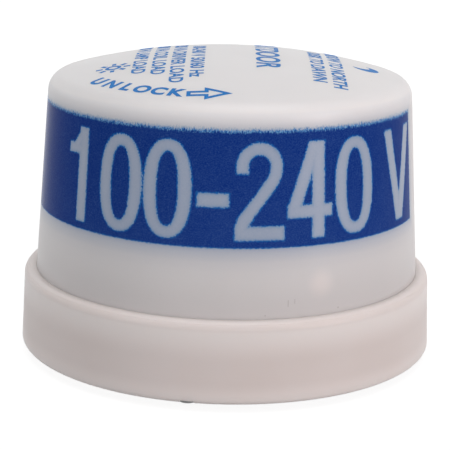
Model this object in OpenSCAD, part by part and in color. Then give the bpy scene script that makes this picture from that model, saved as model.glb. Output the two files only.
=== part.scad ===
// Photocell switch of the locking plug-in type, in millimetres.
// The origin is the centre of the gasket's sealing face, with +Z up and the blades below.

/* [Base] */
// Outer diameter of the base ring at its foot
ring_d = 82.5; // [78:0.5:92]
// Height of the base ring above its foot
ring_h = 15.2; // [13.5:0.1:19]
// Inward lean of the ring's outer wall from foot to rim
ring_lean = 0.62; // [0.1:0.02:0.9]
// Thickness of the ring at its rim
ring_wall = 2.3; // [1.9:0.1:2.8]
// Thickness of the ring at its foot
foot_wall = 2.4; // [1.8:0.1:3.2]
// Rounding of the ring's outer top edge
rim_round = 1.5; // [0.4:0.1:1.7]
// Rounding of the ring's outer bottom edge
foot_round = 0.8; // [0.2:0.1:1.4]
// Thickness of the base floor
floor_t = 3; // [2:0.1:4]
// Width of the boss that stands out past the blades
boss_margin = 4.7; // [3:0.1:6]
// Gap between the boss and the seat plane
boss_rise = 0.8; // [0.3:0.1:1.5]
// Direction of the weep notch, in degrees to the right of the front
weep_angle = -9.3; // [-30:0.1:30]
// Width of the weep notch
weep_w = 2.8; // [1:0.1:6]
// Height of the weep notch
weep_h = 0.5; // [0.3:0.1:1.2]

/* [Cover] */
// Height of the housing from the ring's foot to the top of the crown
housing_h = 58.3; // [54:0.1:66]
// Draft of the cover's wall, in degrees
cover_draft = 4.08; // [2:0.02:5]
// Wall thickness of the cover
cover_wall = 2.2; // [1.6:0.1:2.8]
// Rounding of the cover's shoulder
shoulder_round = 3.6; // [2.9:0.1:6]
// Radius of the domed crown
crown_r = 124; // [95:1:180]
// Gap between the cover and the ring
cover_gap = 0.1; // [0.05:0.05:0.4]
// Height of the snap bead's middle above the floor
bead_up = 6; // [5.5:0.1:7]
// Height of the snap bead
bead_h = 1.6; // [1:0.1:2]
// Depth of the snap bead
bead_depth = 0.5; // [0.35:0.05:0.7]
// Width of each key that stops the cover from turning
key_w = 5; // [3:0.1:8]
// Height of each key
key_h = 3.5; // [2:0.1:4]
// Depth of each key
key_depth = 1.8; // [1:0.1:2.2]
// Gap round each key
key_gap = 0.2; // [0.1:0.05:0.3]

/* [Gasket] */
// Outer diameter of the gasket
gasket_d = 66; // [58:0.5:70]
// Thickness of the gasket
gasket_h = 3; // [2.5:0.1:4]
// Height of the gasket that stands below the ring's foot
gasket_proud = 1.5; // [1:0.1:2]
// Gap between the gasket and the boss
gasket_gap = 0.3; // [0.1:0.05:0.6]

/* [Blades] */
// Diameter of the circle on which the blades lie
blade_circle_d = 33.3; // [30:0.1:37]
// Thickness of the blades
blade_t = 1.3; // [1:0.05:1.6]
// Length of the blades below the seat plane
blade_len = 16.8; // [14:0.1:19]
// Width of the neutral blade
neutral_w = 10; // [9:0.1:12]
// Width of the line and load blades
live_w = 8; // [7:0.1:9]
// Chamfer of the blade tips
tip_chamfer = 1.4; // [0.6:0.1:2]
// Distance from the seat plane to the top of the locking notch
notch_top = 3.2; // [2:0.1:4.5]
// Height of the locking notch
notch_h = 6; // [4:0.1:7]
// Depth of the locking notch
notch_depth = 2.2; // [1.4:0.1:2.6]
// Width of the ledge on each side that rests on the floor
blade_ledge = 1.5; // [1:0.1:2]
// Width of the tails that pass through the board
tail_w = 5; // [3.5:0.1:6]
// Length of the tails above the board
tail_out = 2.6; // [2:0.1:4]
// Gap round the blades in the floor and round the tails in the board
blade_gap = 0.15; // [0.1:0.05:0.25]

/* [Board] */
// Thickness of the circuit board
board_t = 1.6; // [1.2:0.1:2]
// Gap between the board's edge and the cover
board_gap = 1.5; // [1:0.1:2.5]
// Height of the posts that carry the board
post_h = 6; // [5:0.1:8]
// Diameter of the posts
post_d = 6.5; // [5.5:0.1:7.5]
// Distance from the board's edge to the screws
post_inset = 5; // [4.5:0.1:6]
// Diameter of the screw shanks
screw_d = 2.8; // [2.4:0.1:3.2]
// Length of the screw shanks
screw_len = 7; // [6:0.1:7.4]
// Diameter of the screw heads
screw_head_d = 5.4; // [4.6:0.1:6]
// Height of the screw heads
screw_head_h = 2; // [1.5:0.1:2.5]
// Gap round the screw shanks
screw_gap = 0.05; // [0.03:0.01:0.1]
// Width of the cross recess in the screw heads
recess_w = 0.9; // [0.6:0.1:1.2]
// Depth of the cross recess
recess_depth = 1; // [0.6:0.1:1.3]
// Length of the leads below the board
lead_out = 1.8; // [1.3:0.1:2.4]
// Gap round the leads in the board
hole_gap = 0.15; // [0.1:0.05:0.25]
// Diameter of the solder joints at the board
solder_d = 1.8; // [1.5:0.1:1.9]
// Height of the solder joints
solder_h = 1; // [0.6:0.1:1.2]
// Room left between one component and the next
part_gap = 2.5; // [2:0.1:3]
// Room left between the components and the board's edge
edge_gap = 2.2; // [1.5:0.1:3]
// Bend radius of the leads
lead_bend = 1; // [0.8:0.1:1.2]

/* [Relay] */
// Length of the relay
relay_l = 19; // [17:0.1:21]
// Width of the relay
relay_w = 15.5; // [14:0.1:17]
// Height of the relay
relay_h = 15.3; // [12:0.1:20]
// Chamfer of the relay's upright edges
relay_chamfer = 1; // [0.4:0.1:1.5]
// Distance from the relay's sides to its pins
relay_pin_inset = 2.2; // [1.6:0.1:3]
// Diameter of the relay's pins
relay_pin_d = 1; // [0.8:0.1:1.1]

/* [Capacitors and varistor] */
// Diameter of the surge varistor
varistor_d = 14; // [10:0.1:15]
// Thickness of the surge varistor
varistor_t = 4.5; // [3.5:0.1:5]
// Distance between the varistor's leads
varistor_pitch = 7.5; // [5:0.1:9]
// Diameter of the varistor's leads
varistor_lead_d = 0.8; // [0.6:0.05:0.9]
// Length of the film capacitor
film_l = 18; // [15:0.1:20]
// Width of the film capacitor
film_w = 8.5; // [6:0.1:9]
// Height of the film capacitor
film_h = 14.5; // [10:0.1:18]
// Distance between the film capacitor's leads
film_pitch = 15; // [10:0.1:15.5]
// Diameter of the filter capacitor
filter_d = 10; // [8:0.1:10.5]
// Height of the filter capacitor
filter_h = 16; // [12:0.1:20]
// Distance between the filter capacitor's leads
filter_pitch = 5; // [3.5:0.1:5.5]
// Diameter of the delay capacitor
delay_d = 5; // [4:0.1:6]
// Height of the delay capacitor
delay_h = 11; // [7:0.1:13]
// Distance between the delay capacitor's leads
delay_pitch = 2.2; // [2.1:0.1:2.8]
// Depth of the crimp groove round the capacitor cans
crimp = 0.4; // [0.2:0.05:0.6]

/* [Diodes, resistors and sensor] */
// Diameter of the thin leads
lead_d = 0.6; // [0.5:0.05:0.7]
// Diameter of the rectifier diodes
diode_d = 2.7; // [2.2:0.1:3]
// Length of the rectifier diodes' bodies
diode_l = 5.2; // [4:0.1:5.6]
// Distance between the leads of a rectifier diode
diode_pitch = 10.2; // [9:0.1:11]
// Number of rectifier diodes
diode_count = 4; // [2:1:4]
// Diameter of the zener diode
zener_d = 1.9; // [1.5:0.1:2.2]
// Length of the zener diode's body
zener_l = 4; // [3:0.1:4.4]
// Distance between the zener diode's leads
zener_pitch = 7.6; // [7:0.1:9]
// Diameter of the power resistor
power_d = 5; // [4:0.1:5.5]
// Length of the power resistor's body
power_l = 14; // [11:0.1:15]
// Distance between the power resistor's leads
power_pitch = 20; // [18.5:0.1:22]
// Direction of the power resistor, in degrees from +X
power_angle = -57; // [-60:1:-54]
// Diameter of the bias resistors
bias_d = 2.4; // [1.8:0.1:2.6]
// Length of the bias resistors' bodies
bias_l = 6.3; // [5:0.1:7]
// Distance between the leads of a bias resistor
bias_pitch = 10.2; // [10:0.1:12]
// Direction of the bias resistors, in degrees from +X
bias_angle = -123; // [-126:1:-120]
// Number of bias resistors
bias_count = 3; // [1:1:3]
// Diameter of the photo sensor's lens
sensor_d = 5; // [4:0.1:6]
// Length of the photo sensor's body before its dome
sensor_l = 5; // [3:0.1:6]
// Height of the photo sensor's axis above the board
sensor_rise = 22; // [14:0.5:28]
// Direction in which the photo sensor looks, in degrees from +X
sensor_angle = 45; // [42:1:50]
// Distance from the middle of the board to the photo sensor's leads
sensor_reach = 23; // [22:0.1:25]
// Distance between the photo sensor's leads
sensor_pitch = 2.5; // [2.1:0.1:3]

/* [Transistor and chip] */
// Diameter of the transistor
transistor_d = 4.8; // [4.6:0.1:5.2]
// Depth of the transistor from its flat to its round back
transistor_depth = 3.8; // [3.4:0.1:4.2]
// Height of the transistor's body
transistor_h = 4.8; // [4:0.1:5.5]
// Height of the transistor's body above the board
transistor_rise = 2.5; // [1.5:0.1:4]
// Distance between the transistor's leads
transistor_pitch = 2; // [1.95:0.05:2]
// Length of the control chip
chip_l = 9.8; // [9.2:0.1:11]
// Width of the control chip's body
chip_w = 6.4; // [5.8:0.1:6.6]
// Height of the control chip's body
chip_h = 3.4; // [2.8:0.1:4]
// Height of the control chip's body above the board
chip_rise = 0.6; // [0.3:0.1:1]
// Distance between one pin of the chip and the next
chip_pin_pitch = 2.54; // [2.4:0.02:2.6]
// Distance between the chip's two rows of pins
chip_row_pitch = 7.62; // [7.4:0.02:7.8]

/* [Hidden] */
$fn = 64;

// Overlap that lets a cut pass a face or two shapes fuse
eps = 0.5;
// Smallest rounding inside the shoulder
inner_round = 0.3;
// Number of straight steps in a rounded edge and in the crown
edge_steps = 8;
crown_steps = 12;

// Heights above the seat plane
foot_z = gasket_proud;
base_z = gasket_h;
floor_z = base_z + floor_t;
rim_z = foot_z + ring_h;
top_z = foot_z + housing_h;
bead_z = floor_z + bead_up;
board_z = floor_z + post_h;
deck_z = board_z + board_t;
lead_z = board_z - lead_out;

// Radii about the housing's axis
rim_r = ring_d / 2 - ring_lean;
ring_in = rim_r - ring_wall;
cover_r = ring_in - cover_gap;
board_r = cover_r - cover_wall - board_gap;
post_r = board_r - post_inset;
blade_r = blade_circle_d / 2;
blade_out = blade_r + blade_t / 2;
boss_r = blade_out + boss_margin;

// Directions of the blades, the posts and the keys
neutral_angle = 90;
line_angle = 210;
load_angle = 330;
post_angles = [30, 150, 270];
key_angles = [90, 210, 330];

// A point turned about Z
function turn(p, a) = [p[0] * cos(a) - p[1] * sin(a), p[0] * sin(a) + p[1] * cos(a)];

// Points of an arc, with angles measured from straight up towards the outside
function arc(c, r, a, b, n) =
    [for (i = [0:n]) let (t = a + (b - a) * i / n) [c[0] + r * sin(t), c[1] + r * cos(t)]];

// The cover's profile from the crown to the rim, moved inwards by an offset
crown_c = [0, top_z - crown_r];
wall_line = cover_r * cos(cover_draft) + rim_z * sin(cover_draft);
function shoulder_r(o) = max(shoulder_round - o, inner_round);
function shoulder_a(o) = asin((wall_line - o - shoulder_r(o) - crown_c[1] * sin(cover_draft))
    / (crown_r - o - shoulder_r(o))) - cover_draft;
function shoulder_c(o) = crown_c + (crown_r - o - shoulder_r(o))
    * [sin(shoulder_a(o)), cos(shoulder_a(o))];
function cover_edge(o) = concat(
    arc(crown_c, crown_r - o, 0, shoulder_a(o), crown_steps),
    arc(shoulder_c(o), shoulder_r(o), shoulder_a(o), 90 - cover_draft, edge_steps),
    [[cover_r - o, rim_z - o * tan(cover_draft / 2)]]);

// The snap bead's outline on a wall, which the groove in the ring repeats
bead_flat = bead_h / 3;
function bead(r) = [[r, bead_z + bead_h / 2], [r + bead_depth, bead_z + bead_flat / 2],
    [r + bead_depth, bead_z - bead_flat / 2], [r, bead_z - bead_h / 2]];
function reverse(l) = [for (i = [len(l) - 1:-1:0]) l[i]];

// Places of the components on the board
tail_side = tail_w / 2 + part_gap;
varistor_at = [-(relay_l + varistor_t) / 2 - part_gap,
    blade_r * sin(line_angle) + tail_side + varistor_d / 2];
film_at = [0, -(relay_w + film_w) / 2 - part_gap];
filter_at = [(relay_l + filter_d) / 2 + part_gap,
    blade_r * sin(load_angle) + tail_side + filter_d / 2];
delay_at = [filter_at[0] + (filter_d + delay_d) / 2 + part_gap, filter_at[1]];
chip_at = [blade_out * cos(line_angle) - part_gap - chip_row_pitch / 2,
    blade_r * sin(line_angle) - tail_side / 2];
transistor_at = [tail_w / 2 + 2 * part_gap + transistor_d / 2,
    relay_w / 2 + part_gap + transistor_d / 2];
diode_step = diode_d + part_gap / 2;
diode_row = [for (i = [0:diode_count - 1]) (i - (diode_count - 1) / 2) * diode_step];
diode_foot = blade_out + part_gap;
zener_x = diode_row[diode_count - 1] + (diode_d + zener_d) / 2 + part_gap / 2;
bias_step = bias_d + part_gap / 3;
bias_rows = [for (i = [0:bias_count - 1]) board_r - edge_gap - bias_d / 2 - i * bias_step];
power_row = board_r - edge_gap - power_d / 2;
sensor_z = deck_z + sensor_rise;

// Places of the leads: x, y and diameter
function pair(at, pitch, a, d) = [for (s = [-1, 1])
    let (p = at + turn([s * pitch / 2, 0], a)) [p[0], p[1], d]];
relay_x = relay_l / 2 - relay_pin_inset;
relay_y = relay_w / 2 - relay_pin_inset;
relay_leads = concat([for (x = [-relay_x, relay_x], y = [-relay_y, relay_y]) [x, y, relay_pin_d]],
    [[relay_x, 0, relay_pin_d]]);
varistor_leads = pair(varistor_at, varistor_pitch, 90, varistor_lead_d);
film_leads = pair(film_at, film_pitch, 0, varistor_lead_d);
filter_leads = pair(filter_at, filter_pitch, 0, lead_d);
delay_leads = pair(delay_at, delay_pitch, 90, lead_d);
sensor_leads = pair(turn([sensor_reach, 0], sensor_angle), sensor_pitch, sensor_angle + 90, lead_d);
transistor_leads = [for (s = [-1, 0, 1])
    [transistor_at[0] + s * transistor_pitch, transistor_at[1], lead_d]];
chip_leads = [for (x = [-0.5, 0.5], i = [-1.5:1:1.5])
    [chip_at[0] + x * chip_row_pitch, chip_at[1] + i * chip_pin_pitch, lead_d]];
function diode_at(i) = [diode_row[i], diode_foot + diode_pitch / 2];
zener_at = [zener_x, diode_foot + zener_pitch / 2];
power_at = turn([power_row, 0], power_angle);
function bias_at(i) = turn([bias_rows[i], 0], bias_angle);
axial_leads = concat(
    [for (i = [0:diode_count - 1]) each pair(diode_at(i), diode_pitch, 90, lead_d)],
    pair(zener_at, zener_pitch, 90, lead_d),
    pair(power_at, power_pitch, power_angle + 90, lead_d),
    [for (i = [0:bias_count - 1]) each pair(bias_at(i), bias_pitch, bias_angle + 90, lead_d)]);
all_leads = concat(relay_leads, varistor_leads, film_leads, filter_leads, delay_leads, sensor_leads,
    transistor_leads, chip_leads, axial_leads);

// Straight leads from below the board up to a height
module leads(list, top) {
    for (p = list) translate([p[0], p[1], lead_z]) cylinder(d = p[2], h = top - lead_z);
}

// A tube about the housing's axis, as thick as a blade and a gap on each side
module blade_tube(gap, z0, z1) {
    translate([0, 0, z0]) difference() {
        cylinder(r = blade_out + gap, h = z1 - z0);
        translate([0, 0, -eps]) cylinder(r = blade_r - blade_t / 2 - gap, h = z1 - z0 + 2 * eps);
    }
}

// A slot for a blade of width w at an angle
module blade_slot(w, angle, z0, z1) {
    intersection() {
        blade_tube(blade_gap, z0, z1);
        rotate([0, 0, angle]) translate([0, -w / 2 - blade_gap, z0 - eps])
            cube([boss_r, w + 2 * blade_gap, z1 - z0 + 2 * eps]);
    }
}

// A blade: the notch is on the side that leads when it locks
module blade(w, angle) {
    tail_z = deck_z + tail_out;
    side = w / 2;
    wide = side + blade_ledge;
    intersection() {
        blade_tube(0, -blade_len - eps, tail_z + eps);
        rotate([90, 0, angle + 90]) linear_extrude(boss_r) polygon([
            [-side + tip_chamfer, -blade_len], [side - tip_chamfer, -blade_len],
            [side, -blade_len + tip_chamfer], [side, floor_z], [wide, floor_z], [wide, board_z],
            [tail_w / 2, board_z], [tail_w / 2, tail_z], [-tail_w / 2, tail_z],
            [-tail_w / 2, board_z], [-wide, board_z], [-wide, floor_z], [-side, floor_z],
            [-side, -notch_top], [notch_depth - side, -notch_top],
            [notch_depth - side, -notch_top - notch_h], [-side, -notch_top - notch_h],
            [-side, -blade_len + tip_chamfer]]);
    }
}

// An upright box with chamfered corners
module chamfered_box(l, w, h, c) {
    linear_extrude(h) polygon([[c - l / 2, -w / 2], [l / 2 - c, -w / 2], [l / 2, c - w / 2],
        [l / 2, w / 2 - c], [l / 2 - c, w / 2], [c - l / 2, w / 2], [-l / 2, w / 2 - c],
        [-l / 2, c - w / 2]]);
}

// An electrolytic can with a crimp groove above its rubber
module can(at, d, h) {
    r = d / 2;
    groove = d / 4;
    translate([at[0], at[1], deck_z]) rotate_extrude() polygon([[0, 0], [r - crimp, 0], [r, crimp],
        [r, groove], [r - crimp, groove + crimp], [r, groove + 2 * crimp], [r, h - crimp],
        [r - crimp, h], [0, h]]);
}

// A lying body with bent leads, its length along the direction a
module axial(at, a, d, l, pitch) {
    axis_z = deck_z + d / 2;
    end = pitch / 2;
    bend = min(lead_bend, (pitch - l) / 2, d / 2);
    chamfer = d / 8;
    translate([at[0], at[1], 0]) rotate([0, 0, a]) {
        translate([-l / 2, 0, axis_z]) rotate([0, 90, 0]) rotate_extrude() polygon([[0, 0],
            [d / 2 - chamfer, 0], [d / 2, chamfer], [d / 2, l - chamfer], [d / 2 - chamfer, l],
            [0, l]]);
        translate([bend - end, 0, axis_z]) rotate([0, 90, 0])
            cylinder(d = lead_d, h = pitch - 2 * bend);
        for (s = [0, 180]) rotate([0, 0, s]) {
            translate([end, 0, lead_z]) cylinder(d = lead_d, h = axis_z - bend - lead_z);
            translate([end - bend, 0, axis_z - bend]) rotate([90, 0, 0]) rotate_extrude(angle = 90)
                translate([bend, 0]) circle(d = lead_d);
        }
    }
}

module cover() {
    color("whitesmoke") difference() {
        rotate_extrude() polygon(concat(cover_edge(0), bead(cover_r),
            [[cover_r, floor_z], [cover_r - cover_wall, floor_z]], reverse(cover_edge(cover_wall))));
        for (a = key_angles) rotate([0, 0, a])
            translate([cover_r - 2 * cover_wall, -key_w / 2 - key_gap, floor_z - eps])
                cube([3 * cover_wall, key_w + 2 * key_gap, key_h + key_gap + eps]);
    }
}

module base_shell() {
    foot_r = ring_d / 2;
    rotate_extrude() polygon(concat(
        [[0, boss_rise], [boss_r, boss_rise], [boss_r, base_z], [foot_r - foot_wall, base_z],
            [foot_r - foot_wall, foot_z]],
        arc([foot_r - foot_round, foot_z + foot_round], foot_round, 180, 90, edge_steps),
        reverse(arc([rim_r - rim_round, rim_z - rim_round], rim_round, 0, 90, edge_steps)),
        [[ring_in + cover_gap, rim_z], [ring_in, rim_z - cover_gap]],
        bead(ring_in),
        [[ring_in, floor_z], [0, floor_z]]));
}

module base() {
    color("linen") difference() {
        union() {
            base_shell();
            for (a = post_angles) rotate([0, 0, a]) translate([post_r, 0, floor_z - eps])
                cylinder(d = post_d, h = post_h + eps);
            for (a = key_angles) rotate([0, 0, a])
                translate([ring_in - key_depth, -key_w / 2, floor_z - eps])
                    cube([key_depth + ring_wall / 2, key_w, key_h + eps]);
        }
        for (a = post_angles) rotate([0, 0, a])
            translate([post_r, 0, deck_z - screw_len - screw_gap])
                cylinder(d = screw_d + 2 * screw_gap, h = screw_len);
        blade_slot(neutral_w, neutral_angle, boss_rise - eps, floor_z + eps);
        blade_slot(live_w, line_angle, boss_rise - eps, floor_z + eps);
        blade_slot(live_w, load_angle, boss_rise - eps, floor_z + eps);
        rotate([0, 0, weep_angle]) translate([-weep_w / 2, -ring_d / 2 - eps, foot_z - eps])
            cube([weep_w, foot_wall + 2 * eps, weep_h + eps]);
    }
}

module gasket() {
    color("dimgray") difference() {
        cylinder(d = gasket_d, h = gasket_h);
        translate([0, 0, -eps]) cylinder(r = boss_r + gasket_gap, h = gasket_h + 2 * eps);
    }
}

module blade_neutral() { color("goldenrod") blade(neutral_w, neutral_angle); }
module blade_line() { color("goldenrod") blade(live_w, line_angle); }
module blade_load() { color("goldenrod") blade(live_w, load_angle); }

module circuit_board() {
    color("seagreen") difference() {
        translate([0, 0, board_z]) cylinder(r = board_r, h = board_t);
        for (p = all_leads) translate([p[0], p[1], board_z - eps])
            cylinder(d = p[2] + 2 * hole_gap, h = board_t + 2 * eps);
        for (a = post_angles) rotate([0, 0, a]) translate([post_r, 0, board_z - eps])
            cylinder(d = screw_d + 2 * hole_gap, h = board_t + 2 * eps);
        for (a = [neutral_angle, line_angle, load_angle])
            blade_slot(tail_w, a, board_z - eps, deck_z + eps);
    }
}

module board_screws() {
    color("silver") for (a = post_angles) rotate([0, 0, a]) translate([post_r, 0, deck_z]) difference() {
        union() {
            cylinder(d = screw_head_d, h = screw_head_h);
            translate([0, 0, -screw_len]) cylinder(d = screw_d, h = screw_len + eps);
        }
        for (t = [0, 90]) rotate([0, 0, t])
            translate([-screw_head_d / 3, -recess_w / 2, screw_head_h - recess_depth])
                cube([2 * screw_head_d / 3, recess_w, recess_depth + eps]);
    }
}

module relay() {
    color("royalblue") union() {
        translate([0, 0, deck_z]) chamfered_box(relay_l, relay_w, relay_h, relay_chamfer);
        leads(relay_leads, deck_z + eps);
    }
}

module surge_varistor() {
    chamfer = varistor_t / 4;
    r = varistor_d / 2;
    color("orangered") union() {
        translate([varistor_at[0] - varistor_t / 2, varistor_at[1], deck_z + r]) rotate([0, 90, 0])
            rotate_extrude() polygon([[0, 0], [r - chamfer, 0], [r, chamfer],
                [r, varistor_t - chamfer], [r - chamfer, varistor_t], [0, varistor_t]]);
        leads(varistor_leads, deck_z + r);
    }
}

module film_capacitor() {
    color("gold") union() {
        translate([film_at[0], film_at[1], deck_z])
            chamfered_box(film_l, film_w, film_h, relay_chamfer / 2);
        leads(film_leads, deck_z + eps);
    }
}

module filter_capacitor() {
    color("midnightblue") union() {
        can(filter_at, filter_d, filter_h);
        leads(filter_leads, deck_z + eps);
    }
}

module delay_capacitor() {
    color("black") union() {
        can(delay_at, delay_d, delay_h);
        leads(delay_leads, deck_z + eps);
    }
}

module photo_sensor() {
    r = sensor_d / 2;
    flange = lead_d;
    color("lightsteelblue") union() {
        rotate([0, 0, sensor_angle]) translate([sensor_reach + lead_d, 0, sensor_z]) rotate([0, 90, 0])
            rotate_extrude() polygon(concat([[0, 0], [r + flange, 0], [r + flange, flange]],
                reverse(arc([0, sensor_l], r, 0, 90, edge_steps))));
        leads(sensor_leads, sensor_z);
        rotate([0, 0, sensor_angle]) for (s = [-1, 1])
            translate([sensor_reach - lead_d, s * sensor_pitch / 2 - lead_d, sensor_z - lead_d])
                cube([2 * lead_d + eps, 2 * lead_d, 2 * lead_d]);
    }
}

module rectifier_diodes() {
    color("dimgray") for (i = [0:diode_count - 1])
        axial(diode_at(i), 90, diode_d, diode_l, diode_pitch);
}

module zener_diode() {
    color("tomato") axial(zener_at, 90, zener_d, zener_l, zener_pitch);
}

module power_resistor() {
    color("lightslategray") axial(power_at, power_angle + 90, power_d, power_l, power_pitch);
}

module bias_resistors() {
    color("burlywood") for (i = [0:bias_count - 1])
        axial(bias_at(i), bias_angle + 90, bias_d, bias_l, bias_pitch);
}

module driver_transistor() {
    r = transistor_d / 2;
    flat = transistor_depth - r;
    color("darkslategray") union() {
        translate([transistor_at[0], transistor_at[1], deck_z + transistor_rise]) difference() {
            cylinder(d = transistor_d, h = transistor_h);
            translate([-r, -r - flat, -eps]) cube([transistor_d, r, transistor_h + 2 * eps]);
        }
        leads(transistor_leads, deck_z + transistor_rise + eps);
    }
}

module control_chip() {
    tab_z = deck_z + chip_rise + chip_h / 2;
    color("black") union() {
        translate([chip_at[0] - chip_w / 2, chip_at[1] - chip_l / 2, deck_z + chip_rise])
            cube([chip_w, chip_l, chip_h]);
        leads(chip_leads, tab_z);
        for (i = [-1.5:1:1.5])
            translate([chip_at[0] - chip_row_pitch / 2 - lead_d,
                chip_at[1] + i * chip_pin_pitch - lead_d, tab_z - lead_d / 2])
                cube([chip_row_pitch + 2 * lead_d, 2 * lead_d, lead_d]);
    }
}

module solder_joints() {
    color("lightgray") {
        for (p = all_leads) translate([p[0], p[1], board_z - solder_h]) difference() {
            cylinder(d1 = p[2] + 2 * hole_gap, d2 = solder_d, h = solder_h);
            translate([0, 0, -eps]) cylinder(d = p[2], h = solder_h + 2 * eps);
        }
        for (a = [neutral_angle, line_angle, load_angle]) intersection() {
            rotate([0, 0, a]) translate([0, -tail_w / 2, deck_z]) cube([boss_r, tail_w, tail_out]);
            difference() {
                rotate_extrude() polygon([[blade_out - blade_t - solder_h, deck_z],
                    [blade_out + solder_h, deck_z], [blade_out, deck_z + solder_h],
                    [blade_out - blade_t, deck_z + solder_h]]);
                blade_tube(0, deck_z - eps, deck_z + tail_out);
            }
        }
    }
}

cover();
base();
gasket();
blade_neutral();
blade_line();
blade_load();
circuit_board();
board_screws();
relay();
surge_varistor();
film_capacitor();
filter_capacitor();
delay_capacitor();
photo_sensor();
rectifier_diodes();
zener_diode();
power_resistor();
bias_resistors();
driver_transistor();
control_chip();
solder_joints();
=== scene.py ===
import math

import bpy
import numpy as np
from bpy.props import FloatProperty, FloatVectorProperty, IntProperty, PointerProperty, StringProperty
from mathutils import Matrix, Vector


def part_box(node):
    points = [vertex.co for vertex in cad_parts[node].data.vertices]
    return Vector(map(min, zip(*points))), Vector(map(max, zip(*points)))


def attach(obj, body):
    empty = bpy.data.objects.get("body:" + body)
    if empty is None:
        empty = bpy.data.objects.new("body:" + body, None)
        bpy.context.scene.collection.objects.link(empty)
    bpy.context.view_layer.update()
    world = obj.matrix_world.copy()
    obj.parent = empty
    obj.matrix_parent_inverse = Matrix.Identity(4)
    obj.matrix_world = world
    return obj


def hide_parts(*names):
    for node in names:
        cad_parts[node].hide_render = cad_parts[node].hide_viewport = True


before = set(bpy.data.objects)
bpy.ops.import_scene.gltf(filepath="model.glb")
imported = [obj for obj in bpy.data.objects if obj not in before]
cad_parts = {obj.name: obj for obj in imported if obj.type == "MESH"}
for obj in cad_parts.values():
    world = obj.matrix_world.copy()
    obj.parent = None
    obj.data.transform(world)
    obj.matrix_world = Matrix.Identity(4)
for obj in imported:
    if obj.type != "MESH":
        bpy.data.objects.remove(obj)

bl_info = {
    "name": "Photocell Switch",
    "version": (1, 0, 0),
    "blender": (4, 5, 0),
    "location": "View3D > Sidebar > Photocell",
    "description": "Models the finished look of a locking photocell switch round its packed frame",
    "category": "Add Mesh",
}

MM = 0.001
FULL_TURN = 2.0 * math.pi
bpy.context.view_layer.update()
BASE_LOW, BASE_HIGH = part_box("base")
COVER_LOW, COVER_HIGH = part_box("cover")
GASKET_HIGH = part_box("gasket")[1]
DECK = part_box("circuit_board")[1].z
OVER_CROWN = COVER_HIGH.z + MM
ACROSS, UP = (1.0, 0.0, 0.0), (0.0, 0.0, 1.0)
WHITE = (1.0, 1.0, 1.0, 1.0)

# Directions in degrees from +X that the base and the cover share
KEY_ANGLES = (90.0, 210.0, 330.0)
POST_ANGLES = (30.0, 150.0, 270.0)
BLADE_ANGLES = {"blade_neutral": 90.0, "blade_line": 210.0, "blade_load": 330.0}

# Middle of a painted highlight, a soft pale spot on the wall, in mm
COVER_PAINTED_HIGHLIGHT = (17.2, -33.7, 22.6)
# Short scratches and specks on the front of the wall: X, Z, half width, half height, in mm
COVER_SCRATCHES = (
    (11.2, 19.4, 0.07, 0.6), (12.4, 19.7, 0.06, 0.45), (7.1, 17.4, 0.12, 0.1), (20.5, 17.6, 0.14, 0.12),
)

# Rows on the crown: words, distance of their middle from the axis in X, end in Y, letter height, in mm
CROWN_ROWS = (
    ("1000 W LAMP LOAD", -17.2, -17.2, 2.6),
    ("1500 VA COIL LOAD", -13.5, -18.9, 2.6),
    ("500 VA DRIVER LOAD", -9.9, -24.2, 2.6),
    ("100-240 V 50/60 Hz", -6.2, -21.6, 2.6),
    ("OUTDOOR", 7.2, -15.0, 4.5),
    ("DUSK TO DAWN", 16.6, -20.2, 2.6),
    ("WINDOW TO NORTH", 20.3, -22.2, 2.6),
)
CROWN_WORD = "UNLOCK"
CROWN_WORD_ANGLES = (217.3, 225.0, 232.2, 238.7, 245.2, 251.4)
# Middles of the day and night signs, in mm
CROWN_SUN = (-22.3, -10.6)
CROWN_MOON = (26.3, -2.4)
# Corners of the turning arrow's outline, in mm
CROWN_ARROW = ((-7.8, -30.9), (-4.6, -30.9), (-4.6, -32.4), (0.4, -29.8), (-4.6, -27.2), (-4.6, -28.7),
               (-7.8, -28.7))
# How far letters are thickened, in Blender's own measure for text
ROW_BOLD, WORD_BOLD = 0.022, 0.045

# Lights: name, setting, size and distance in metres, heading from the front and rise in degrees, warm or not
LAMPS = (
    ("key_light", "key", 0.25, 0.7, 54.0, 12.0, True),
    ("top_light", "top", 0.6, 0.75, 10.0, 80.0, False),
    ("fill_light", "fill", 0.5, 0.8, -50.0, 20.0, True),
    ("low_light", "low", 0.5, 0.8, 0.0, 8.0, False),
)
# Reach of the floor that gets painted shade under the base, and of the gap in it for light from below, in mm
FLOOR_SHADE, FLOOR_GAP = (36.2, 36.8), (35.8, 35.6)
# Spot on the floor that shows through the weep notch, and the reach of the painted shade around it, in mm
NOTCH_FLOOR, NOTCH_SHADE = (-6.6, -34.8, 0.0), (1.5, 1.8)
# Ink distance in mm that means far from any print
FAR_OFF = 50.0


def linear(value):
    """A screen value from 0 to 255 as light."""
    value /= 255.0
    return value / 12.92 if value <= 0.04045 else ((value + 0.055) / 1.055) ** 2.4


def tone(red, green, blue):
    """A colour as Blender stores it, from screen values."""
    return (linear(red), linear(green), linear(blue), 1.0)


def length(name, description, millimetres):
    return FloatProperty(name=name, description=description, default=millimetres * MM, precision=5,
                         subtype="DISTANCE", unit="LENGTH")


def angle(name, description, degrees):
    return FloatProperty(name=name, description=description, default=math.radians(degrees),
                         subtype="ANGLE", unit="ROTATION")


def colour(name, description, red, green, blue):
    return FloatVectorProperty(name=name, description=description, default=tone(red, green, blue),
                               size=4, min=0.0, max=1.0, subtype="COLOR")


def power(name, description, watts):
    return FloatProperty(name=name, description=description, default=watts, min=0.0, unit="POWER")


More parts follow.
